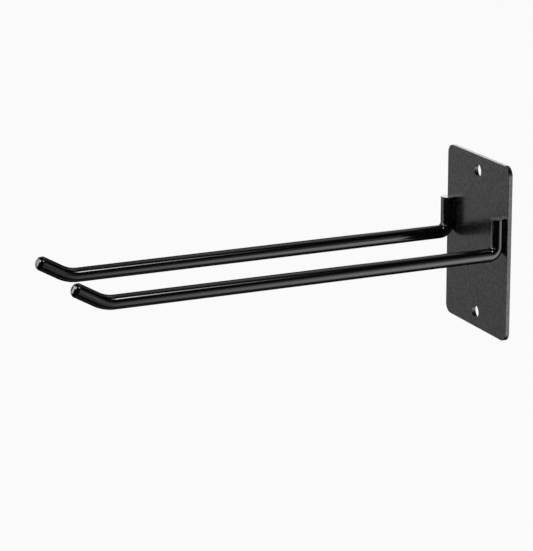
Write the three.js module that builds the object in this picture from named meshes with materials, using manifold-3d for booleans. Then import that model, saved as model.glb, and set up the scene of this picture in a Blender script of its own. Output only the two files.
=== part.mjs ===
import * as THREE from 'three';
import { mergeVertices } from 'three/addons/utils/BufferGeometryUtils.js';
import Module from 'manifold-3d';

// Wall rack for long-handled tools: a screw-on plate with two bent round bars welded to its front.
// Millimetres, +Z up. The origin is the centre of the plate's back face, which lies on the wall.
// The wall is the plane y = 0, the arms reach out towards -y, and +x is to the right seen from the room.

// Wall plate, cut from flat steel.
const plateWidth = 107;
const plateHeight = 152;
const plateThickness = 4;
const plateCornerRadius = 8;
const plateEdgeRadius = 0.8;

// Two plain screw holes, one above the other on the plate's centreline.
const screwHoleDiameter = 12;
const screwHoleInset = 13.5;
const screwHoleEdgeBreak = 0.3;

// Round bar of both arms. The margin is from the bar to the plate's side edge, and the set-down is how
// deep the back of the leg is pressed flat, so that it seats on the plate.
const barDiameter = 12;
const barEdgeMargin = 3.5;
const barSetDown = 1.2;

// Leg: the end of the bar that stands against the plate, measured up from the arm's centreline.
const legHeight = 31;
const legBendInnerRadius = 2;
const legEndBreak = 0.4;

// Arm: straight out from the wall, then turned up at the tip and rounded off to a small flat nose.
const armReach = 350.5;
const tipBendInnerRadius = 24;
const tipBendAngle = THREE.MathUtils.degToRad(30);
const tipLength = 22.4;
const noseFlatDiameter = 3;

// Weld bead that fills the corner down each side of a leg. Its face runs from a toe on the bar, at an
// angle round the bar from the plate, to a toe on the plate that stands out past the bar. The face is
// crowned and laid in ripples. The shares are of the bead's full width, at a ripple's valley and where
// the bead starts and stops.
const weldToeAngle = THREE.MathUtils.degToRad(75);
const weldToeReach = 1.5;
const weldCrown = 0.4;
const weldRipplePitch = 1.8;
const weldValleyShare = 0.86;
const weldEndShare = 0.4;
const weldEndRounding = 1.8;
const weldEndSetback = 1.5;
const weldRootGap = 0.3;

// How far a cutting body runs past what it cuts, and how close two corners lie that count as one.
const cutOverrun = 1;
const cornerDistance = 0.002;

// Facets.
const barSides = 32;
const legBendSteps = 8;
const tipBendSteps = 6;
const noseSteps = 5;
const breakSteps = 2;
const cornerSteps = 10;
const edgeSteps = 3;
const holeSides = 40;
const weldRootSteps = 3;
const weldFaceSteps = 4;
const rippleSteps = 4;

const barRadius = barDiameter / 2;
const legBendRadius = barRadius + legBendInnerRadius;
const tipBendRadius = barRadius + tipBendInnerRadius;
const legAxisY = -(plateThickness + barRadius - barSetDown);
const armOffsetX = plateWidth / 2 - barEdgeMargin - barRadius;
const screwHoleOffsetZ = plateHeight / 2 - screwHoleInset;

const wasm = await Module();
wasm.setup();

// Makes one corner of those that lie together, and leaves out the triangles that this closes up, as at
// the poles of a turned shape.
function joinCorners(geometry) {
  const joined = mergeVertices(geometry, cornerDistance);
  const triangles = [];
  for (let i = 0; i < joined.index.count; i += 3) {
    const [a, b, c] = [0, 1, 2].map((corner) => joined.index.getX(i + corner));
    if (a !== b && b !== c && c !== a) {
      triangles.push(a, b, c);
    }
  }
  joined.setIndex(triangles);
  return joined;
}

// A closed geometry as a solid that can be joined and cut.
function toSolid(geometry) {
  geometry.deleteAttribute('normal');
  geometry.deleteAttribute('uv');
  const joined = joinCorners(geometry);
  return new wasm.Manifold(new wasm.Mesh({
    numProp: 3,
    vertProperties: new Float32Array(joined.attributes.position.array),
    triVerts: new Uint32Array(joined.index.array),
  }));
}

function toGeometry(solid) {
  const mesh = solid.getMesh();
  const geometry = new THREE.BufferGeometry();
  geometry.setAttribute('position', new THREE.BufferAttribute(new Float32Array(mesh.vertProperties), 3));
  geometry.setIndex(new THREE.BufferAttribute(new Uint32Array(mesh.triVerts), 1));
  const joined = joinCorners(geometry);
  joined.computeVertexNormals();
  return joined;
}

// Centreline of a bar bent in the upright plane at one x, built up move by move from a point where it
// heads straight down. It turns first outwards from the wall and then upwards. Each straight is one
// step and each bend is several, so the section is swept with no more faces than the form needs.
class BentBarPath extends THREE.Curve {
  constructor(start) {
    super();
    this.end = start.clone();
    this.turned = 0;
    this.stations = [];
    this.addStation();
  }

  heading(turned) {
    return new THREE.Vector3(0, -Math.sin(turned), -Math.cos(turned));
  }

  addStation() {
    this.stations.push({ point: this.end.clone(), tangent: this.heading(this.turned) });
  }

  straight(length) {
    this.end.addScaledVector(this.heading(this.turned), length);
    this.addStation();
    return this;
  }

  bend(radius, angle, steps) {
    const stepAngle = angle / steps;
    const chord = 2 * radius * Math.sin(stepAngle / 2);
    for (let i = 0; i < steps; i += 1) {
      this.end.addScaledVector(this.heading(this.turned + stepAngle / 2), chord);
      this.turned += stepAngle;
      this.addStation();
    }
    return this;
  }

  stationAt(share) {
    return this.stations[Math.round(share * (this.stations.length - 1))];
  }

  getPointAt(share, target = new THREE.Vector3()) {
    return target.copy(this.stationAt(share).point);
  }

  getTangentAt(share, target = new THREE.Vector3()) {
    return target.copy(this.stationAt(share).tangent);
  }
}

function circleShape(radius, sides) {
  const points = [];
  for (let i = 0; i < sides; i += 1) {
    const angle = (2 * Math.PI * i) / sides;
    points.push(new THREE.Vector2(radius * Math.cos(angle), radius * Math.sin(angle)));
  }
  return new THREE.Shape(points);
}

function roundedRectangle(width, height, radius) {
  const right = width / 2 - radius;
  const top = height / 2 - radius;
  const shape = new THREE.Shape();
  shape.absarc(right, top, radius, 0, Math.PI / 2);
  shape.absarc(-right, top, radius, Math.PI / 2, Math.PI);
  shape.absarc(-right, -top, radius, Math.PI, Math.PI * 1.5);
  shape.absarc(right, -top, radius, Math.PI * 1.5, Math.PI * 2);
  return shape;
}

// Body that cuts a round end: its hollow is the finished end, with the edge rounded by the given radius.
// It stands on the y axis with the end face at the origin, and the first chord of the rounding is run on
// past the bar's surface.
function roundedEndCutter(edgeRadius, steps) {
  const rounding = [];
  for (let i = 0; i <= steps; i += 1) {
    const angle = (Math.PI / 2) * (1 - i / steps);
    rounding.push(new THREE.Vector2(
      barRadius - edgeRadius * (1 - Math.cos(angle)),
      -edgeRadius * (1 - Math.sin(angle)),
    ));
  }
  const [beforeLast, last] = rounding.slice(-2);
  rounding[steps] = last.clone().add(last).sub(beforeLast);
  const outer = barRadius + cutOverrun;
  return toSolid(new THREE.LatheGeometry([
    new THREE.Vector2(0, 0),
    ...rounding,
    new THREE.Vector2(outer, rounding[steps].y),
    new THREE.Vector2(outer, 2 * cutOverrun),
    new THREE.Vector2(0, 2 * cutOverrun),
  ], barSides));
}

// Everything from the plate's front face back into the wall. It is cut from what seats on the plate.
function spaceBehindPlateFront() {
  const depth = plateThickness + cutOverrun;
  const box = new THREE.BoxGeometry(plateWidth, depth, plateHeight);
  box.translate(0, depth / 2 - plateThickness, 0);
  return toSolid(box);
}

// Turned body that drills one screw hole and breaks its edge at both faces of the plate.
function screwHoleCutter() {
  const radius = screwHoleDiameter / 2;
  const halfPlate = plateThickness / 2;
  const mouth = radius + screwHoleEdgeBreak + cutOverrun;
  const mouthY = halfPlate + cutOverrun;
  return toSolid(new THREE.LatheGeometry([
    new THREE.Vector2(0, -mouthY),
    new THREE.Vector2(mouth, -mouthY),
    new THREE.Vector2(radius, -halfPlate + screwHoleEdgeBreak),
    new THREE.Vector2(radius, halfPlate - screwHoleEdgeBreak),
    new THREE.Vector2(mouth, mouthY),
    new THREE.Vector2(0, mouthY),
  ], holeSides));
}

// Plate: a rounded rectangle with rounded edges, drilled through at both screw holes.
function wallPlate() {
  const edge = plateEdgeRadius;
  const blank = new THREE.ExtrudeGeometry(roundedRectangle(plateWidth, plateHeight, plateCornerRadius), {
    depth: plateThickness - 2 * edge,
    curveSegments: cornerSteps / 2,
    bevelThickness: edge,
    bevelSize: edge,
    bevelOffset: -edge,
    bevelSegments: edgeSteps,
  });
  blank.translate(0, 0, edge);
  blank.rotateX(Math.PI / 2);
  let plate = toSolid(blank);
  for (const side of [-1, 1]) {
    const hole = screwHoleCutter().translate([0, -plateThickness / 2, side * screwHoleOffsetZ]);
    plate = plate.subtract(hole);
  }
  return toGeometry(plate);
}

// Arm: the bar swept along its bends, turned off round at the nose, deburred at the top of the leg and
// pressed flat where the leg seats on the plate. The sweep starts and ends one overrun too long.
function arm(x) {
  const path = new BentBarPath(new THREE.Vector3(x, legAxisY, legHeight + cutOverrun))
    .straight(legHeight + cutOverrun - legBendRadius)
    .bend(legBendRadius, Math.PI / 2, legBendSteps)
    .straight(armReach + legAxisY - legBendRadius)
    .bend(tipBendRadius, tipBendAngle, tipBendSteps)
    .straight(tipLength + cutOverrun);
  const bar = toSolid(new THREE.ExtrudeGeometry(circleShape(barRadius, barSides), {
    steps: path.stations.length - 1,
    extrudePath: path,
  }));

  const tipHeading = path.heading(path.turned);
  const nose = path.end.clone().addScaledVector(tipHeading, -cutOverrun);
  const noseCutter = roundedEndCutter(barRadius - noseFlatDiameter / 2, noseSteps)
    .rotate([180 - THREE.MathUtils.radToDeg(tipBendAngle), 0, 0])
    .translate(nose.toArray());
  const legEndCutter = roundedEndCutter(legEndBreak, breakSteps)
    .rotate([90, 0, 0])
    .translate([x, legAxisY, legHeight]);
  return toGeometry(bar.subtract(noseCutter).subtract(legEndCutter).subtract(spaceBehindPlateFront()));
}

// Share of its full width that a weld bead has at one distance along it: a scallop for each ripple, and
// a round start and stop.
function weldSwell(distance, length, pitch) {
  const ripple = distance / pitch;
  const offCrest = 2 * Math.abs(ripple - Math.floor(ripple) - 1 / 2);
  const scallop = 1 - (1 - weldValleyShare) * offCrest ** 2;
  const fromEnd = Math.min(distance, length - distance, weldEndRounding) / weldEndRounding;
  const ending = Math.sqrt(1 - (1 - fromEnd) ** 2);
  return scallop * (weldEndShare + (1 - weldEndShare) * ending);
}

// Weld bead in the corner between one side of a leg and the plate. Its section is drawn with the leg's
// axis at the origin, run up the leg, and drawn in towards the bar by the swell at each height.
function weldBead(x, side) {
  const rootRadius = barRadius + weldRootGap;
  const plateFront = -plateThickness - legAxisY;
  const rootAngle = Math.acos(plateFront / rootRadius);
  const root = new THREE.EllipseCurve(
    0, 0, rootRadius, rootRadius, Math.PI / 2 - rootAngle, Math.PI / 2 - weldToeAngle, true,
  ).getPoints(weldRootSteps);
  const barToe = root[weldRootSteps];
  const plateToe = new THREE.Vector2(barRadius + weldToeReach, plateFront);
  const across = plateToe.clone().sub(barToe).normalize();
  const crest = barToe.clone().lerp(plateToe, 1 / 2)
    .add(new THREE.Vector2(across.y, -across.x).multiplyScalar(2 * weldCrown));
  const face = new THREE.QuadraticBezierCurve(barToe, crest, plateToe).getPoints(weldFaceSteps);

  const length = legHeight - legBendRadius - 2 * weldEndSetback;
  const ripples = Math.max(1, Math.round(length / weldRipplePitch));
  const bead = new THREE.ExtrudeGeometry(new THREE.Shape([...root, ...face.slice(1)]), {
    depth: length,
    steps: ripples * rippleSteps,
    bevelEnabled: false,
  });
  const { position } = bead.attributes;
  for (let i = 0; i < position.count; i += 1) {
    const barSide = Math.sqrt(rootRadius ** 2 - position.getY(i) ** 2);
    const swell = weldSwell(position.getZ(i), length, length / ripples);
    position.setX(i, barSide + (position.getX(i) - barSide) * swell);
  }

  bead.translate(0, 0, -length / 2);
  bead.rotateY(side > 0 ? 0 : Math.PI);
  bead.translate(x, legAxisY, legBendRadius + weldEndSetback + length / 2);
  return toGeometry(toSolid(bead));
}

function plateCoat() {
  return new THREE.MeshStandardMaterial({
    color: 0x1d1e20, roughness: 0.42, metalness: 0.2, flatShading: true,
  });
}

function barCoat() {
  return new THREE.MeshStandardMaterial({
    color: 0x0b0b0c, roughness: 0.2, metalness: 0.2, flatShading: true,
  });
}

const rack = new THREE.Group();

function addPiece(name, geometry, material) {
  const piece = new THREE.Mesh(geometry, material);
  piece.name = name;
  rack.add(piece);
}

addPiece('wall_plate', wallPlate(), plateCoat());
for (const [armName, side] of [['left_arm', -1], ['right_arm', 1]]) {
  const x = side * armOffsetX;
  addPiece(armName, arm(x), barCoat());
  addPiece(`${armName}_outer_weld`, weldBead(x, side), barCoat());
  addPiece(`${armName}_inner_weld`, weldBead(x, -side), barCoat());
}

export default rack;
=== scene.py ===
"""Looks of a wall-mounted garden tool rack: a screw-on plate with two bent bars welded to it.

Metres, +Z up. The wall is the plane y = 0, the arms reach out towards -y, and +x is to the right
seen from the room. Each piece is modelled from a primitive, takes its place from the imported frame
and stands for the solid of the same name.
"""

import logging
import math
from collections.abc import Callable, Iterator
from contextlib import contextmanager
from dataclasses import dataclass, field
from enum import Enum
from typing import Any, Union

import bmesh
import bpy
from mathutils import Matrix, Vector


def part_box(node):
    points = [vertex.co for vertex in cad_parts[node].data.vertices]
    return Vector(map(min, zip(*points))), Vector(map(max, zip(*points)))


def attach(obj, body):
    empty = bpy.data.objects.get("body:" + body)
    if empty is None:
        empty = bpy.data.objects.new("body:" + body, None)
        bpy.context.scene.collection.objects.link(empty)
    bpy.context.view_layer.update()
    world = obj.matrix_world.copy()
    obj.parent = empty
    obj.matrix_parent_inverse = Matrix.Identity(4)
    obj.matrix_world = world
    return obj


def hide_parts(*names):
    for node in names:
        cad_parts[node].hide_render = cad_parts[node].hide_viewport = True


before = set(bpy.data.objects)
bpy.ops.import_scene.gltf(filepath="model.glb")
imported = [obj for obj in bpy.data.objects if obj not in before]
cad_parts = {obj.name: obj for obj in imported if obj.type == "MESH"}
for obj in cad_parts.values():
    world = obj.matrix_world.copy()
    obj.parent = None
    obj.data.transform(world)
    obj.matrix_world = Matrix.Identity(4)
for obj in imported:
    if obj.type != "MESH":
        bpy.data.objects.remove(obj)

log = logging.getLogger("tool_rack")

MM = 0.001
# Points closer than this count as one, and a point this close to a plane counts as on it.
SAME_POINT = 0.01 * MM
# The least share of an edge's length that runs along an axis, for an edge that follows it.
ALONG = 0.9
# The bevel profile that is part of a circle.
CIRCULAR = 0.5
BODY = "root"


class Slot(Enum):
    """The record's slots for the rack's finishes. The welds share the slot of the bars."""

    PLATE_COAT = "plate_coat"
    BAR_COAT = "bar_coat"


class Side(Enum):
    """The side of the rack, or of a leg, as the sign of its x."""

    LEFT = -1
    RIGHT = 1


class Axis(Enum):
    """The way that a cylinder points, as the turn that brings it there from upright."""

    Y = (math.pi / 2, 0, 0)
    Z = (0, 0, 0)


class Part(Enum):
    """What can be selected in edit mode."""

    CORNERS = "VERT"
    EDGES = "EDGE"


# Shader maths

Operand = Union["Signal", float]


class Signal:
    """A value in a shader. Its operators add the Math nodes that work them out."""

    def __init__(self, graph: "ShaderGraph", socket: bpy.types.NodeSocket) -> None:
        """Wraps the output socket that holds the value, and keeps the graph that it is in."""
        self.graph = graph
        self.socket = socket

    def __add__(self, other: Operand) -> "Signal":
        """The sum."""
        return self.graph.math("ADD", self, other)

    def __radd__(self, other: Operand) -> "Signal":
        """The sum, with the number first."""
        return self.graph.math("ADD", other, self)

    def __sub__(self, other: Operand) -> "Signal":
        """The difference."""
        return self.graph.math("SUBTRACT", self, other)

    def __rsub__(self, other: Operand) -> "Signal":
        """The difference, with the number first."""
        return self.graph.math("SUBTRACT", other, self)

    def __mul__(self, other: Operand) -> "Signal":
        """The product."""
        return self.graph.math("MULTIPLY", self, other)

    def __rmul__(self, other: Operand) -> "Signal":
        """The product, with the number first."""
        return self.graph.math("MULTIPLY", other, self)

    def __abs__(self) -> "Signal":
        """The size without its sign."""
        return self.graph.math("ABSOLUTE", self)

    def at_least(self, other: Operand) -> "Signal":
        """The larger of the two."""
        return self.graph.math("MAXIMUM", self, other)

    def swing(self, amount: float) -> "Signal":
        """Carries a value from 0 to 1 over to one that swings by an amount either way."""
        return (self - 0.5) * (2 * amount)

    def ramp(self, low: float, high: float, start: float = 0.0, end: float = 1.0) -> "Signal":
        """Carries a range of the value smoothly over to another range.

        Args:
            low: The value that gives start.
            high: The value that gives end.
            start: The result at low and below.
            end: The result at high and above.

        Returns:
            The value in its new range.
        """
        return self.graph.node(
            "ShaderNodeMapRange",
            {"interpolation_type": "SMOOTHSTEP"},
            {"Value": self, "From Min": low, "From Max": high, "To Min": start, "To Max": end},
        )


class ShaderGraph:
    """The node tree of a material or of the world, filled from Python expressions."""

    def __init__(self, owner: Union[bpy.types.Material, bpy.types.World], output: str) -> None:
        """Empties the owner's tree and gives it an output node.

        Args:
            owner: The material or world.
            output: The type of its output node.
        """
        owner.use_nodes = True
        self.tree = owner.node_tree
        self.tree.nodes.clear()
        self.output = self.tree.nodes.new(output)

    def node(
        self,
        kind: str,
        settings: dict[str, Any] | None = None,
        inputs: dict[Union[str, int], Any] | None = None,
        output: Union[str, int] = 0,
    ) -> Signal:
        """Adds a node.

        Args:
            kind: The node's type.
            settings: The node's own settings, which are made first.
            inputs: A value or a signal for each input that is set.
            output: The output that is wanted.

        Returns:
            That output.
        """
        made = self.tree.nodes.new(kind)
        for name, value in (settings or {}).items():
            setattr(made, name, value)
        for name, value in (inputs or {}).items():
            if isinstance(value, Signal):
                self.tree.links.new(value.socket, made.inputs[name])
            else:
                made.inputs[name].default_value = value
        return Signal(self, made.outputs[output])

    def math(self, operation: str, *operands: Operand) -> Signal:
        """Adds a Math node on one or two operands."""
        return self.node("ShaderNodeMath", {"operation": operation}, dict(enumerate(operands)))

    def tones(self, amount: Signal, dark: float, light: float) -> Signal:
        """Mixes two greys.

        Args:
            amount: The share of the light one.
            dark: The tone at no amount.
            light: The tone at full amount.

        Returns:
            The colour.
        """
        return self.node(
            "ShaderNodeMix",
            {"data_type": "RGBA"},
            {"Factor": amount, "A": grey(dark), "B": grey(light)},
            "Result",
        )

    def coordinates(self) -> Signal:
        """The piece's own coordinates."""
        return self.node("ShaderNodeTexCoord", output="Object")

    def noise(self, wavelength: float, detail: float = 0.0) -> Signal:
        """Soft noise from 0 to 1, by its wavelength in metres and its number of finer layers."""
        inputs = {"Vector": self.coordinates(), "Scale": 1 / wavelength, "Detail": detail}
        return self.node("ShaderNodeTexNoise", inputs=inputs)

    def relief(self, height: Signal) -> Signal:
        """The normal of a surface that is raised by a height in metres."""
        inputs = {"Strength": 1.0, "Distance": 1.0, "Height": height}
        return self.node("ShaderNodeBump", inputs=inputs)

    def blend(self, share: Signal, first: Signal, second: Signal) -> Signal:
        """Mixes two shaders, with the share of the second one."""
        return self.node("ShaderNodeMixShader", inputs={0: share, 1: first, 2: second})

    def surface(self, shader: Signal) -> None:
        """Shows a shader on the surface."""
        self.tree.links.new(shader.socket, self.output.inputs["Surface"])


def grey(tone: float) -> tuple[float, float, float, float]:
    """A tone as an opaque colour."""
    return (tone, tone, tone, 1)


def material(name: str) -> tuple[bpy.types.Material, ShaderGraph]:
    """A new material and its empty graph."""
    made = bpy.data.materials.new(name)
    return made, ShaderGraph(made, "ShaderNodeOutputMaterial")


# Finishes of the rack


@dataclass(frozen=True)
class PowderCoat:
    """Semi-gloss black powder coat of the plate: a fine even grain on a faintly cloudy film.

    The dark parts of the grain are pits, where some of the film's gloss is missing.
    """

    dark_tone: float = 0.001
    light_tone: float = 0.005
    roughness: float = 0.22
    cloud_roughness: float = 0.03
    grain_roughness: float = 0.1
    cloud_width: float = 38 * MM
    grain_width: float = 2.3 * MM
    speck_width: float = 1.0 * MM
    cloud_detail: float = 2.0
    grain_detail: float = 1.0
    grain_share: float = 0.7
    speck_share: float = 0.3
    grain_depth: float = 0.026 * MM
    speck_depth: float = 0.008 * MM
    ior: float = 1.55
    pit_share: float = 0.27
    pit_floor: float = 0.38
    pit_rim: float = 0.62

    def material(self) -> bpy.types.Material:
        """Mixes the coat.

        Returns:
            The coat as a material.
        """
        made, graph = material("plate_powder_coat")
        clouds = graph.noise(self.cloud_width, self.cloud_detail)
        grain = graph.noise(self.grain_width, self.grain_detail)
        specks = graph.noise(self.speck_width)
        mottle = grain * self.grain_share + specks * self.speck_share
        unevenness = clouds.swing(self.cloud_roughness) + mottle.swing(self.grain_roughness)
        film = graph.node("ShaderNodeBsdfPrincipled", inputs={
            "Base Color": graph.tones(mottle, self.dark_tone, self.light_tone),
            "Roughness": self.roughness + unevenness,
            "IOR": self.ior,
            "Normal": graph.relief(grain * self.grain_depth + specks * self.speck_depth),
        })
        pits = graph.node("ShaderNodeBsdfDiffuse", inputs={"Color": grey(self.dark_tone)})
        share = mottle.ramp(self.pit_floor, self.pit_rim, self.pit_share, 0.0)
        graph.surface(graph.blend(share, film, pits))
        return made


@dataclass(frozen=True)
class DippedCoat:
    """Gloss black coat that the arms are dipped in, set with shallow runs and a fine peel."""

    dark_tone: float = 0.0008
    light_tone: float = 0.002
    roughness: float = 0.1
    run_roughness: float = 0.025
    run_width: float = 16 * MM
    peel_width: float = 2.6 * MM
    speck_width: float = 0.8 * MM
    run_detail: float = 1.0
    run_depth: float = 0.02 * MM
    peel_depth: float = 0.004 * MM
    speck_depth: float = 0.0008 * MM

    def material(self) -> bpy.types.Material:
        """Mixes the coat.

        Returns:
            The coat as a material.
        """
        made, graph = material("bar_dipped_coat")
        runs = graph.noise(self.run_width, self.run_detail)
        peel = graph.noise(self.peel_width)
        specks = graph.noise(self.speck_width)
        height = runs * self.run_depth + peel * self.peel_depth + specks * self.speck_depth
        graph.surface(graph.node("ShaderNodeBsdfPrincipled", inputs={
            "Base Color": graph.tones(peel, self.dark_tone, self.light_tone),
            "Roughness": self.roughness + runs.swing(self.run_roughness),
            "Normal": graph.relief(height),
        }))
        return made


@dataclass(frozen=True)
class WeldCoat:
    """The arms' black coat where it has sunk into the ripples of a weld and dried dull."""

    dark_tone: float = 0.0006
    light_tone: float = 0.0016
    gloss: float = 0.04
    roughness: float = 0.5
    scale_roughness: float = 0.12
    scale_width: float = 1.1 * MM
    speck_width: float = 0.4 * MM
    scale_detail: float = 1.0
    scale_depth: float = 0.02 * MM
    speck_depth: float = 0.006 * MM

    def material(self) -> bpy.types.Material:
        """Mixes the coat.

        Returns:
            The coat as a material.
        """
        made, graph = material("weld_dull_coat")
        scale = graph.noise(self.scale_width, self.scale_detail)
        specks = graph.noise(self.speck_width)
        graph.surface(graph.node("ShaderNodeBsdfPrincipled", inputs={
            "Base Color": graph.tones(scale, self.dark_tone, self.light_tone),
            "Roughness": self.roughness + scale.swing(self.scale_roughness),
            "Specular IOR Level": self.gloss,
            "Normal": graph.relief(scale * self.scale_depth + specks * self.speck_depth),
        }))
        return made


# Modelling


class Workpiece:
    """A mesh on the bench. It starts as a primitive and is shaped by operators."""

    def __init__(self, name: str) -> None:
        """Takes the primitive that was just added and writes its place into its mesh.

        Args:
            name: The name of the finished piece.
        """
        self.piece = bpy.context.object
        self.piece.name = name
        self.piece.data.name = name
        bpy.ops.object.transform_apply(location=True, rotation=True, scale=True)

    @classmethod
    def block(cls, name: str, low: Vector, high: Vector) -> "Workpiece":
        """Starts from a cube.

        Args:
            name: The piece's name.
            low: The cube's lowest corner.
            high: Its highest corner.

        Returns:
            The workpiece.
        """
        bpy.ops.object.select_all(action="DESELECT")
        bpy.ops.mesh.primitive_cube_add(size=1, location=(low + high) / 2, scale=high - low)
        return cls(name)

    @classmethod
    def drum(
        cls, name: str, centre: Vector, radius: float, depth: float, axis: Axis, sides: int
    ) -> "Workpiece":
        """Starts from a cylinder.

        Args:
            name: The piece's name.
            centre: The middle of the cylinder.
            radius: Its radius.
            depth: Its length along its axis.
            axis: The way that it points.
            sides: The number of its sides.

        Returns:
            The workpiece.
        """
        bpy.ops.object.select_all(action="DESELECT")
        bpy.ops.mesh.primitive_cylinder_add(
            vertices=sides, radius=radius, depth=depth, location=centre, rotation=axis.value
        )
        return cls(name)

    @classmethod
    def ring(cls, name: str, centre: Vector, radius: float, sides: int) -> "Workpiece":
        """Starts from an open circle that lies flat.

        Args:
            name: The piece's name.
            centre: The middle of the circle.
            radius: Its radius.
            sides: The number of its points.

        Returns:
            The workpiece.
        """
        bpy.ops.object.select_all(action="DESELECT")
        bpy.ops.mesh.primitive_circle_add(vertices=sides, radius=radius, location=centre)
        return cls(name)

    @classmethod
    def ball(
        cls, name: str, centre: Vector, radii: Vector, turn: Vector, sides: int
    ) -> "Workpiece":
        """Starts from a sphere with a radius of its own each way.

        Args:
            name: The piece's name.
            centre: The middle of the ball.
            radii: Its radius along each axis before it is turned.
            turn: Its turn about each axis, in radians.
            sides: The number of its meridians, which have half as many rings.

        Returns:
            The workpiece.
        """
        bpy.ops.object.select_all(action="DESELECT")
        bpy.ops.mesh.primitive_uv_sphere_add(
            segments=sides,
            ring_count=sides // 2,
            radius=1,
            location=centre,
            rotation=turn,
            scale=radii,
        )
        return cls(name)

    def activate(self) -> None:
        """Makes this the only selected object."""
        bpy.ops.object.select_all(action="DESELECT")
        self.piece.select_set(True)
        bpy.context.view_layer.objects.active = self.piece

    @contextmanager
    def editing(self, part: Part = Part.CORNERS) -> Iterator[None]:
        """Holds the piece in edit mode, at first with all of its mesh selected.

        Args:
            part: The kind of part that can be selected.

        Returns:
            A context. At its end the piece is back in object mode.
        """
        self.activate()
        bpy.ops.object.mode_set(mode="EDIT")
        bpy.ops.mesh.select_mode(type=part.value)
        bpy.ops.mesh.select_all(action="SELECT")
        yield
        bpy.ops.object.mode_set(mode="OBJECT")

    def pick_edges(self, test: Callable[[Vector, Vector], bool]) -> None:
        """Selects the edges that pass a test, and no others.

        Args:
            test: Takes an edge's middle and its way.
        """
        mesh = bmesh.from_edit_mesh(self.piece.data)
        bpy.ops.mesh.select_all(action="DESELECT")
        for edge in mesh.edges:
            start, end = (corner.co for corner in edge.verts)
            edge.select_set(test((start + end) / 2, (end - start).normalized()))
        mesh.select_flush_mode()
        bmesh.update_edit_mesh(self.piece.data)

    def extrude(self, way: Vector, steps: int = 1) -> None:
        """Extrudes what is selected along a way, in equal steps."""
        for _ in range(steps):
            bpy.ops.mesh.extrude_region_move(TRANSFORM_OT_translate={"value": way / steps})

    def bevel(self, width: float, segments: int) -> None:
        """Rounds the selected edges.

        Args:
            width: How far the rounding reaches from each edge.
            segments: The number of its facets.
        """
        bpy.ops.mesh.bevel(
            offset=width, segments=segments, profile=CIRCULAR, affect="EDGES", clamp_overlap=True
        )

    def trim(self, point: Vector, normal: Vector) -> None:
        """Cuts off all that lies past a plane, and closes the cut."""
        with self.editing():
            bpy.ops.mesh.bisect(plane_co=point, plane_no=normal, use_fill=True, clear_outer=True)

    def modify(self, kind: str, **settings: Any) -> None:
        """Applies a modifier.

        Args:
            kind: The modifier's type.
            settings: Its settings.
        """
        self.activate()
        added = self.piece.modifiers.new(kind, kind)
        for name, value in settings.items():
            setattr(added, name, value)
        bpy.ops.object.modifier_apply(modifier=added.name)

    def cut(self, tool: "Workpiece") -> None:
        """Takes another workpiece's shape away from this one, and the other one off the bench."""
        self.modify("BOOLEAN", operation="DIFFERENCE", solver="EXACT", object=tool.piece)
        bpy.data.objects.remove(tool.piece)

    def join(self, others: list["Workpiece"]) -> None:
        """Makes one mesh of this workpiece and others.

        Args:
            others: The other workpieces, which are gone afterwards.
        """
        self.activate()
        for other in others:
            other.piece.select_set(True)
        bpy.ops.object.join()

    def copy(self, name: str) -> "Workpiece":
        """Copies the workpiece and its mesh.

        Args:
            name: The name of the copy.

        Returns:
            The copy.
        """
        self.activate()
        bpy.ops.object.duplicate(linked=False)
        return Workpiece(name)

    def flip(self, middle: Vector) -> None:
        """Mirrors the whole mesh left to right about a point."""
        with self.editing():
            bpy.ops.transform.resize(value=(-1, 1, 1), center_override=middle)

    def smooth(self, angle: float) -> None:
        """Closes the mesh and shades it.

        Args:
            angle: The bend, in radians, past which an edge stays sharp.
        """
        with self.editing():
            bpy.ops.mesh.remove_doubles(threshold=SAME_POINT)
            bpy.ops.mesh.normals_make_consistent(inside=False)
        self.activate()
        bpy.ops.object.shade_smooth_by_angle(angle=angle)
        self.modify("WEIGHTED_NORMAL", keep_sharp=True)

    def stand_for(self, node: str, finish: bpy.types.Material, slot: Slot) -> None:
        """Dresses the piece and puts it in the place of a solid.

        Args:
            node: The solid's name.
            finish: The piece's material.
            slot: The record's slot of that finish. It is not used.
        """
        self.piece.data.materials.clear()
        self.piece.data.materials.append(finish)
        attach(self.piece, BODY)
        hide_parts(node)
        log.info("%s: %d faces", self.piece.name, len(self.piece.data.polygons))


# The rack


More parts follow.
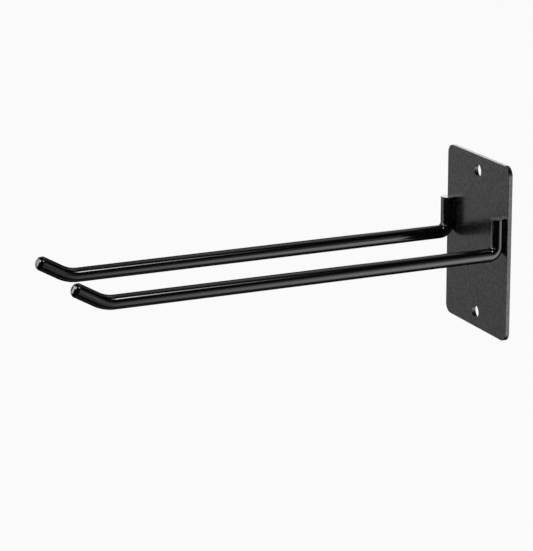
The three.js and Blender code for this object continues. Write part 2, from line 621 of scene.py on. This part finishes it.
@dataclass
class WallPlate:
    """Flat plate with rounded corners and edges, which two screws hold to the wall."""

    node: str = "wall_plate"
    corner_radius: float = 8 * MM
    edge_radius: float = 0.8 * MM
    hole_radius: float = 6 * MM
    hole_inset: float = 13.5 * MM
    hole_edge_radius: float = 0.15 * MM
    corner_segments: int = 24
    edge_segments: int = 6
    hole_edge_segments: int = 4
    hole_sides: int = 96
    rim_tolerance: float = 0.05 * MM
    outline_tolerance: float = 0.1 * MM
    drill_thicknesses: float = 3
    smooth_angle: float = math.radians(40)
    low: Vector = field(init=False)
    high: Vector = field(init=False)

    def __post_init__(self) -> None:
        """Takes the plate's box from the frame."""
        self.low, self.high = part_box(self.node)

    def holes(self) -> list[Vector]:
        """Places the screw holes.

        Returns:
            The middle of each hole.
        """
        offset = self.high.z - self.hole_inset
        depth = (self.low.y + self.high.y) / 2
        return [Vector((0, depth, side.value * offset)) for side in Side]

    def on_face(self, middle: Vector) -> bool:
        """Whether a point lies on the front or the back face."""
        return min(abs(middle.y - self.low.y), abs(middle.y - self.high.y)) < SAME_POINT

    def on_rim(self, middle: Vector) -> bool:
        """Whether a point, at any depth, is as far from a hole's axis as the hole's rim."""
        aways = (Vector((middle.x - hole.x, middle.z - hole.z)).length for hole in self.holes())
        return any(abs(away - self.hole_radius) < self.rim_tolerance for away in aways)

    def on_outline(self, middle: Vector) -> bool:
        """Tells an edge at the plate's outline, with its rounded corners.

        Args:
            middle: The middle of the edge, at any depth.

        Returns:
            Whether it lies on the outline.
        """
        straight_x = self.high.x - self.corner_radius
        straight_z = self.high.z - self.corner_radius
        past = Vector((max(abs(middle.x) - straight_x, 0), max(abs(middle.z) - straight_z, 0)))
        return abs(past.length - self.corner_radius) < self.outline_tolerance

    def drill(self, sheet: Workpiece) -> None:
        """Cuts both screw holes.

        Args:
            sheet: The sheet to drill, at the plate's place or close to it.
        """
        length = self.drill_thicknesses * (self.high.y - self.low.y)
        for hole in self.holes():
            sheet.cut(
                Workpiece.drum("drill", hole, self.hole_radius, length, Axis.Y, self.hole_sides)
            )

    def build(self) -> Workpiece:
        """Models the plate: a block with rounded corners, drilled, then rounded along its edges.

        Returns:
            The bare plate.
        """
        plate = Workpiece.block(self.node, self.low, self.high)
        with plate.editing(Part.EDGES):
            plate.pick_edges(lambda middle, way: abs(way.y) > ALONG)
            plate.bevel(self.corner_radius, self.corner_segments)
        self.drill(plate)
        with plate.editing(Part.EDGES):
            plate.pick_edges(lambda middle, way: self.on_face(middle) and self.on_rim(middle))
            plate.bevel(self.hole_edge_radius, self.hole_edge_segments)
            plate.pick_edges(lambda middle, way: self.on_face(middle) and self.on_outline(middle))
            plate.bevel(self.edge_radius, self.edge_segments)
        plate.smooth(self.smooth_angle)
        return plate

    def dress(self, finish: bpy.types.Material) -> None:
        """Builds the plate, coats it and puts it in its place."""
        self.build().stand_for(self.node, finish, Slot.PLATE_COAT)


@dataclass
class BentArm:
    """Arm of round bar: a leg down the plate, a tight bend, a long reach and a turned-up tip."""

    side: Side
    leg_bend_radius: float = 8 * MM
    reach: float = 350.5 * MM
    tip_bend_radius: float = 30 * MM
    tip_bend_angle: float = math.radians(30)
    tip_length: float = 22.4 * MM
    nose_radius: float = 4.5 * MM
    leg_end_radius: float = 0.4 * MM
    set_down: float = 1.2 * MM
    sides: int = 96
    bend_steps: int = 24
    nose_segments: int = 16
    leg_end_segments: int = 5
    step_length: float = 12 * MM
    smooth_angle: float = math.radians(40)
    low: Vector = field(init=False)
    high: Vector = field(init=False)

    def __post_init__(self) -> None:
        """Takes the arm's box from the frame."""
        self.low, self.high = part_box(self.node)

    @property
    def node(self) -> str:
        """The name of the arm's solid."""
        return f"{self.side.name.lower()}_arm"

    @property
    def radius(self) -> float:
        """The bar's radius."""
        return (self.high.x - self.low.x) / 2

    @property
    def leg_axis(self) -> Vector:
        """The point of the leg's centreline at the height of the arm's centreline."""
        depth = self.high.y - self.radius + self.set_down
        return Vector(((self.low.x + self.high.x) / 2, depth, 0))

    @property
    def tip_centre(self) -> Vector:
        """The point that the tip's bend turns about."""
        return Vector((self.leg_axis.x, -self.reach, self.tip_bend_radius))

    @property
    def tip_way(self) -> Vector:
        """The way that the tip points."""
        return Vector((0, -math.cos(self.tip_bend_angle), math.sin(self.tip_bend_angle)))

    @property
    def nose_end(self) -> Vector:
        """The point where the centreline ends at the nose."""
        out = Vector((0, -self.tip_way.z, self.tip_way.y))
        return self.tip_centre + out * self.tip_bend_radius + self.tip_way * self.tip_length

    def run(self, bar: Workpiece, way: Vector) -> None:
        """Draws the bar on along a straight, in steps of about one length."""
        bar.extrude(way, max(1, round(way.length / self.step_length)))

    def turn(self, centre: Vector, angle: float) -> None:
        """Bends the bar on about a centre at the side of its end."""
        bpy.ops.mesh.spin(steps=self.bend_steps, angle=angle, center=centre, axis=(1, 0, 0))

    def build(self) -> Workpiece:
        """Models the arm: a ring drawn down, round and out, capped, rounded off and cut flat.

        Returns:
            The bare arm.
        """
        leg = self.leg_axis
        bar = Workpiece.ring(self.node, leg + Vector((0, 0, self.high.z)), self.radius, self.sides)
        bend = leg + Vector((0, -self.leg_bend_radius, self.leg_bend_radius))
        with bar.editing():
            self.run(bar, Vector((0, 0, self.leg_bend_radius - self.high.z)))
            self.turn(bend, math.pi / 2)
            self.run(bar, Vector((0, self.tip_centre.y - bend.y, 0)))
            self.turn(self.tip_centre, self.tip_bend_angle)
            self.run(bar, self.tip_way * self.tip_length)
        with bar.editing(Part.EDGES):
            bpy.ops.mesh.remove_doubles(threshold=SAME_POINT)
            bpy.ops.mesh.select_all(action="DESELECT")
            bpy.ops.mesh.select_non_manifold()
            bpy.ops.mesh.edge_face_add()
            bpy.ops.mesh.select_all(action="SELECT")
            bpy.ops.mesh.normals_make_consistent(inside=False)
        self.round_off(bar)
        bar.trim(Vector((0, self.high.y, 0)), Vector((0, 1, 0)))
        bar.smooth(self.smooth_angle)
        return bar

    def round_off(self, bar: Workpiece) -> None:
        """Rounds the rims of the nose and of the leg's end.

        Args:
            bar: The capped bar.
        """
        nose, way_out = self.nose_end, self.tip_way
        with bar.editing(Part.EDGES):
            bar.pick_edges(lambda middle, way: abs((middle - nose).dot(way_out)) < SAME_POINT)
            bar.bevel(self.nose_radius, self.nose_segments)
            bar.pick_edges(lambda middle, way: abs(middle.z - self.high.z) < SAME_POINT)
            bar.bevel(self.leg_end_radius, self.leg_end_segments)

    def dress(self, finish: bpy.types.Material) -> None:
        """Builds the arm, coats it and puts it in its place."""
        self.build().stand_for(self.node, finish, Slot.BAR_COAT)


@dataclass
class LegWelds:
    """The pair of weld beads that hold one leg, copied from one rippled bead."""

    arm: BentArm
    thickness: float = 3.6 * MM
    width: float = 4.8 * MM
    ripple_length: float = 3.4 * MM
    ripple_pitch: float = 1.8 * MM
    ripple_lean: float = math.radians(32)
    face_angle: float = math.radians(34)
    toe_reach: float = 1.3 * MM
    crest_rise: float = 1.0 * MM
    voxel: float = 0.16 * MM
    softening: float = 0.5
    softening_rounds: int = 2
    ripple_sides: int = 32
    smooth_angle: float = math.radians(60)

    def node(self, face: str) -> str:
        """The name of the solid of the outer or the inner bead."""
        return f"{self.arm.node}_{face}_weld"

    def bead(self) -> Workpiece:
        """Models one bead, on the right-hand side of the leg.

        Its ripples lean over each other like coins, are fused into one skin, and are cut flat on
        the plate and hollow round the bar.

        Returns:
            The bare bead, in triangles.
        """
        low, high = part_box(self.node("outer" if self.arm.side is Side.RIGHT else "inner"))
        leg = self.arm.leg_axis
        plate = self.arm.high.y
        bead = self.ripples(
            Vector((leg.x + self.arm.radius - self.toe_reach / 2, plate - self.crest_rise, 0)),
            low.z + self.ripple_length / 2,
            high.z - self.ripple_length / 2,
        )
        bead.modify("REMESH", mode="VOXEL", voxel_size=self.voxel)
        bead.modify("SMOOTH", factor=self.softening, iterations=self.softening_rounds)
        spare = Vector((self.width, 0, self.ripple_length))
        near = Vector((low.x, plate, low.z)) - spare
        far = Vector((high.x, 0, high.z)) + spare
        bead.cut(Workpiece.block("plate_space", near, far))
        middle = Vector((leg.x, leg.y, high.z / 2))
        bead.cut(
            Workpiece.drum(
                "leg_space", middle, self.arm.radius, 2 * high.z, Axis.Z, self.arm.sides
            )
        )
        with bead.editing():
            bpy.ops.mesh.remove_doubles(threshold=SAME_POINT)
            bpy.ops.mesh.quads_convert_to_tris(quad_method="BEAUTY", ngon_method="BEAUTY")
        return bead

    def ripples(self, foot: Vector, first: float, last: float) -> Workpiece:
        """Lays a row of leaning ripples, one above the other.

        Args:
            foot: The point of the row at the height 0.
            first: The height of the lowest ripple.
            last: The height of the highest one.

        Returns:
            The ripples as one workpiece, which still overlap.
        """
        radii = Vector((self.thickness / 2, self.width / 2, self.ripple_length / 2))
        turn = Vector((0, self.ripple_lean, -self.face_angle))
        pitches = round((last - first) / self.ripple_pitch)
        row = []
        for i in range(pitches + 1):
            place = Vector((foot.x, foot.y, first + (last - first) * i / pitches))
            row.append(Workpiece.ball("ripple", place, radii, turn, self.ripple_sides))
        row[0].join(row[1:])
        return row[0]

    def dress(self, finish: bpy.types.Material) -> None:
        """Builds both beads, coats them and puts them in their places.

        Args:
            finish: Their material.
        """
        right = self.bead()
        left = right.copy("left_bead")
        left.flip(self.arm.leg_axis)
        outer, inner = (right, left) if self.arm.side is Side.RIGHT else (left, right)
        for face, bead in (("outer", outer), ("inner", inner)):
            bead.piece.name = self.node(face)
            bead.piece.data.name = bead.piece.name
            bead.smooth(self.smooth_angle)
            bead.stand_for(self.node(face), finish, Slot.BAR_COAT)


# Studio


def heading(azimuth: float, elevation: float) -> Vector:
    """Gives a direction by its angles.

    Args:
        azimuth: The angle round from +x towards +y, in degrees.
        elevation: The angle up, in degrees.

    Returns:
        The direction, of length 1.
    """
    flat = math.cos(math.radians(elevation))
    turn = math.radians(azimuth)
    return Vector((math.cos(turn) * flat, math.sin(turn) * flat, math.sin(math.radians(elevation))))


@dataclass(frozen=True)
class Softbox:
    """A soft panel light. Its glow falls off towards its edges and may fade down its height.

    The way is from the aim to the panel, and the panel's width lies as nearly along a given
    direction as it can. The glow is the radiance of the middle, where 1 is white. An edge is the
    share of the half width or half height over which the glow falls off, and the foot share is how
    much of it is left at the foot.
    """

    name: str
    aim: Vector
    way: Vector
    distance: float
    width: float
    height: float
    glow: float
    side_edge: float = 0.6
    end_edge: float = 0.6
    foot_share: float = 1.0
    along: Vector | None = None

    def turn(self) -> Matrix:
        """Turns the panel to its aim.

        Returns:
            Its own axes as columns: along its width, up its height and towards its aim.
        """
        facing = -self.way.normalized()
        along = self.along or Vector((0, 0, 1)).cross(facing)
        across = (along - along.dot(facing) * facing).normalized()
        return Matrix((across, facing.cross(across), facing)).transposed()

    def build(self) -> None:
        """Makes the panel, hidden from the camera. On its own coordinates it runs from -1 to 1."""
        bpy.ops.object.select_all(action="DESELECT")
        bpy.ops.mesh.primitive_plane_add(size=2)
        panel = bpy.context.object
        panel.name = self.name
        place = Matrix.Translation(self.aim + self.way.normalized() * self.distance)
        size = Matrix.Diagonal((self.width / 2, self.height / 2, 1, 1))
        panel.matrix_world = place @ self.turn().to_4x4() @ size
        panel.visible_camera = False
        panel.visible_shadow = False
        panel.data.materials.append(self.fabric())

    def fabric(self) -> bpy.types.Material:
        """Makes the glowing front of the panel.

        Returns:
            Its material, which is clear where nothing glows.
        """
        made, graph = material(f"{self.name}_fabric")
        inputs = {"Vector": graph.coordinates()}
        across, up = (
            graph.node("ShaderNodeSeparateXYZ", inputs=inputs, output=axis) for axis in "XY"
        )
        sides = abs(across).ramp(1.0, 1.0 - self.side_edge)
        ends = abs(up).ramp(1.0, 1.0 - self.end_edge)
        fade = up.ramp(-1.0, 1.0, self.foot_share, 1.0)
        lit_side = 1 - graph.node("ShaderNodeNewGeometry", output="Backfacing")
        clear = graph.node("ShaderNodeBsdfTransparent")
        lit = graph.node("ShaderNodeEmission", inputs={"Strength": self.glow})
        graph.surface(graph.blend(sides * ends * fade * lit_side, clear, lit))
        return made


@dataclass(frozen=True)
class Studio:
    """Pale room round the rack, with its floor, its black drape and its lights.

    Pale is the tone of the background, and fill the light that the room casts from all round. The
    floor shows that tone too, but for its shade share, which is lit as a real floor is.
    """

    floor_height: float = -3.7
    floor_size: float = 60.0
    floor_tone: float = 0.93
    floor_shade_share: float = 0.12
    pale: float = 0.956
    fill: float = 0.55
    drape_middle: Vector = field(default_factory=lambda: Vector((0, -0.15, 0)))
    drape_radius: float = 3.4
    drape_meridians: int = 48
    drape_rings: int = 24
    card_gap: float = 0.7 * MM
    card_glow: float = 0.9

    def seen(self, graph: ShaderGraph) -> Signal:
        """Tells the rays that show something from those that only light.

        Args:
            graph: The graph that it is for.

        Returns:
            1 for what is looked at, mirrored or seen through something, and 0 for the rest.
        """
        rays = ("Is Camera Ray", "Is Glossy Ray", "Is Transmission Ray")
        camera, glossy, through = (graph.node("ShaderNodeLightPath", output=ray) for ray in rays)
        return camera.at_least(glossy).at_least(through)

    def air(self) -> None:
        """Makes the world: pale where it is seen or mirrored, and a plain fill for the rest."""
        world = bpy.data.worlds.new("studio_air")
        bpy.context.scene.world = world
        graph = ShaderGraph(world, "ShaderNodeOutputWorld")
        seen = self.seen(graph)
        strength = seen * self.pale + (1 - seen) * self.fill
        inputs = {"Color": grey(1), "Strength": strength}
        graph.surface(graph.node("ShaderNodeBackground", inputs=inputs))

    def floor(self) -> None:
        """Makes the pale floor, which keeps the rack's shadow."""
        bpy.ops.object.select_all(action="DESELECT")
        bpy.ops.mesh.primitive_plane_add(size=self.floor_size, location=(0, 0, self.floor_height))
        floor = bpy.context.object
        floor.name = "floor"
        made, graph = material("pale_floor")
        matt = graph.node("ShaderNodeBsdfDiffuse", inputs={"Color": grey(self.floor_tone)})
        shaded = self.floor_shade_share * self.floor_tone * self.fill
        glow = (self.pale - shaded) / (1 - self.floor_shade_share)
        lit = graph.node("ShaderNodeEmission", inputs={"Strength": glow})
        share = 1 - self.seen(graph) * (1 - self.floor_shade_share)
        graph.surface(graph.blend(share, lit, matt))
        floor.data.materials.append(made)

    def drape(self) -> None:
        """Hangs a black drape all round, which only what is glossy shows."""
        bpy.ops.object.select_all(action="DESELECT")
        bpy.ops.mesh.primitive_uv_sphere_add(
            segments=self.drape_meridians,
            ring_count=self.drape_rings,
            radius=self.drape_radius,
            location=self.drape_middle,
        )
        drape = bpy.context.object
        drape.name = "black_drape"
        for ray in ("camera", "diffuse", "shadow", "transmission", "volume_scatter"):
            setattr(drape, f"visible_{ray}", False)
        made, graph = material("black_cloth")
        graph.surface(graph.node("ShaderNodeBsdfDiffuse", inputs={"Color": grey(0)}))
        drape.data.materials.append(made)

    def lights(self) -> list[Softbox]:
        """Lists the panel lights.

        The arm_ panels make the two lines along the arms' tops, and the nose_ panels the light edge
        and the spot of the rounded noses. The others fill the sides of arms, legs and plate.

        Returns:
            The lights.
        """
        centre = Vector((0, 0, 0))
        wall = Vector((0, 0.03, 0))
        legs = Vector((0, -0.006, 0.02))
        arms = Vector((0, -0.1, 0))
        middles = Vector((0, -0.2, 0))
        noses = Vector((0, -0.38, 0.03))
        behind = Vector((0, 0.62, 0))
        low_half = Vector((0.08, 0, -0.14))
        high_half = Vector((0.08, 0, 0.07))
        above = heading(0, 57.1)
        above_back = heading(180, 65)
        below = heading(0, -90)
        low_left = Vector((-0.85, -0.47, -0.25))
        back_left = Vector((-0.847, 0.469, 0.25))
        out = Vector((0, -1, 0))
        reach = Vector((0, 1, 0))
        # Name, aim, way, distance, width, height, glow, side edge, end edge, foot share.
        return [
            Softbox("right_fill", arms, heading(39.8, -21.5), 2.2, 3.0, 4.0, 4.5, 1.0, 1.0),
            Softbox("right_high_fill", noses, heading(41, 14), 2.2, 1.1, 1.2, 0.65, 1.0, 1.0),
            Softbox("right_low_fill", noses, heading(7, -34), 2.2, 1.4, 1.4, 0.6, 1.0, 1.0),
            Softbox("arm_line", wall, above, 1.4, 0.84, 0.32, 12.0, 1.0, 0.3, along=reach),
            Softbox("arm_glint", wall, above, 1.34, 0.32, 0.31, 26.0, 1.0, 0.3, along=reach),
            Softbox("rear_top", behind, above_back, 1.6, 1.5, 2.4, 1.0, 1.0, 1.0, along=reach),
            Softbox("rear_high_fill", noses, heading(104, 34), 2.2, 1.6, 1.2, 0.3, 0.9, 0.9),
            Softbox("nose_strip", noses, heading(-117, 14), 0.4, 0.38, 0.62, 6.5, 0.5, 0.5),
            Softbox("left_key", middles, heading(-138, 22), 2.2, 1.3, 1.6, 4.5, 0.6, 0.5),
            Softbox("nose_spot", noses, heading(-90, 51), 1.4, 0.8, 0.76, 18.0, 0.6, 0.6),
            Softbox("left_near_fill", noses, heading(-167, -11), 0.3, 0.17, 0.26, 1.8, 0.7, 0.5),
            Softbox("left_low_fill", centre, low_left, 1.2, 1.0, 0.6, 0.66, 0.2, 0.2, 0.7),
            Softbox("left_top_fill", legs, heading(-153, 14), 0.6, 0.26, 0.2, 3.8, 0.7, 0.7),
            Softbox("left_leg_strip", legs, heading(-123, -15), 0.64, 0.26, 0.26, 2.6, 0.8, 0.5),
            Softbox("left_back_rim", centre, back_left, 0.6, 0.32, 0.28, 2.7, 0.4, 0.4),
            Softbox("left_back_fill", arms, heading(140, -16), 2.2, 2.2, 2.0, 3.0, 1.0, 1.0),
            Softbox("front_low", low_half, out, 0.15, 0.4, 0.17, 1.2, 0.4, 0.5),
            Softbox("front_high", high_half, out, 0.15, 0.4, 0.11, 0.9, 0.4, 0.5),
            Softbox("under_fill", arms, below, 2.2, 3.2, 3.2, 0.17, 1.0, 1.0, along=reach),
        ]

    def back_card(self, plate: WallPlate) -> None:
        """Hangs a dim card behind the plate, for its back to mirror, with both screw holes open.

        Args:
            plate: The plate. The card is as large, and as thick as the gap between the two.
        """
        gap = Vector((0, self.card_gap, 0))
        back = Vector((plate.low.x, plate.high.y, plate.low.z))
        card = Workpiece.block("back_card", back + gap, plate.high + 2 * gap)
        plate.drill(card)
        card.piece.visible_camera = False
        card.piece.visible_shadow = False
        made, graph = material("card_glow")
        graph.surface(graph.node("ShaderNodeEmission", inputs={"Strength": self.card_glow}))
        card.piece.data.materials.clear()
        card.piece.data.materials.append(made)

    def build(self, plate: WallPlate) -> None:
        """Sets the whole studio up.

        Args:
            plate: The plate that the studio is built round.
        """
        self.air()
        self.floor()
        self.drape()
        self.back_card(plate)
        for light in self.lights():
            light.build()


@dataclass(frozen=True)
class PhotoCamera:
    """The photograph's view. Its lens is given in pixels of the photograph's frame."""

    place: Vector = field(default_factory=lambda: Vector((1.695362, -0.940508, 0.508829)))
    azimuth: float = math.radians(66.4291)
    elevation: float = math.radians(15.5854)
    roll: float = math.radians(-0.3616)
    focal_pixels: float = 2320.66
    frame_long_side: int = 551
    sensor: float = 36.0

    def build(self) -> None:
        """Makes the camera and looks through it."""
        data = bpy.data.cameras.new("photo_camera")
        data.sensor_width = self.sensor
        data.lens = self.focal_pixels * self.sensor / self.frame_long_side
        camera = bpy.data.objects.new("photo_camera", data)
        bpy.context.scene.collection.objects.link(camera)
        flat = math.cos(self.elevation)
        back = Vector((
            math.sin(self.azimuth) * flat,
            -math.cos(self.azimuth) * flat,
            math.sin(self.elevation),
        ))
        level = Vector((0, 0, 1)).cross(back).normalized()
        upright = back.cross(level)
        right = math.cos(self.roll) * level + math.sin(self.roll) * upright
        up = math.cos(self.roll) * upright - math.sin(self.roll) * level
        turn = Matrix((right, up, back)).transposed()
        camera.matrix_world = Matrix.Translation(self.place) @ turn.to_4x4()
        bpy.context.scene.camera = camera


def main() -> None:
    """Builds the rack, the studio and the camera, in that order."""
    logging.basicConfig(level=logging.INFO, format="%(name)s %(message)s")
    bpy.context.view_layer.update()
    plate_coat = PowderCoat().material()
    bar_coat = DippedCoat().material()
    weld_coat = WeldCoat().material()
    plate = WallPlate()
    plate.dress(plate_coat)
    for side in Side:
        arm = BentArm(side)
        arm.dress(bar_coat)
        LegWelds(arm).dress(weld_coat)
    Studio().build(plate)
    PhotoCamera().build()
    bpy.context.scene.view_settings.view_transform = "Standard"


if __name__ == "__main__":
    main()
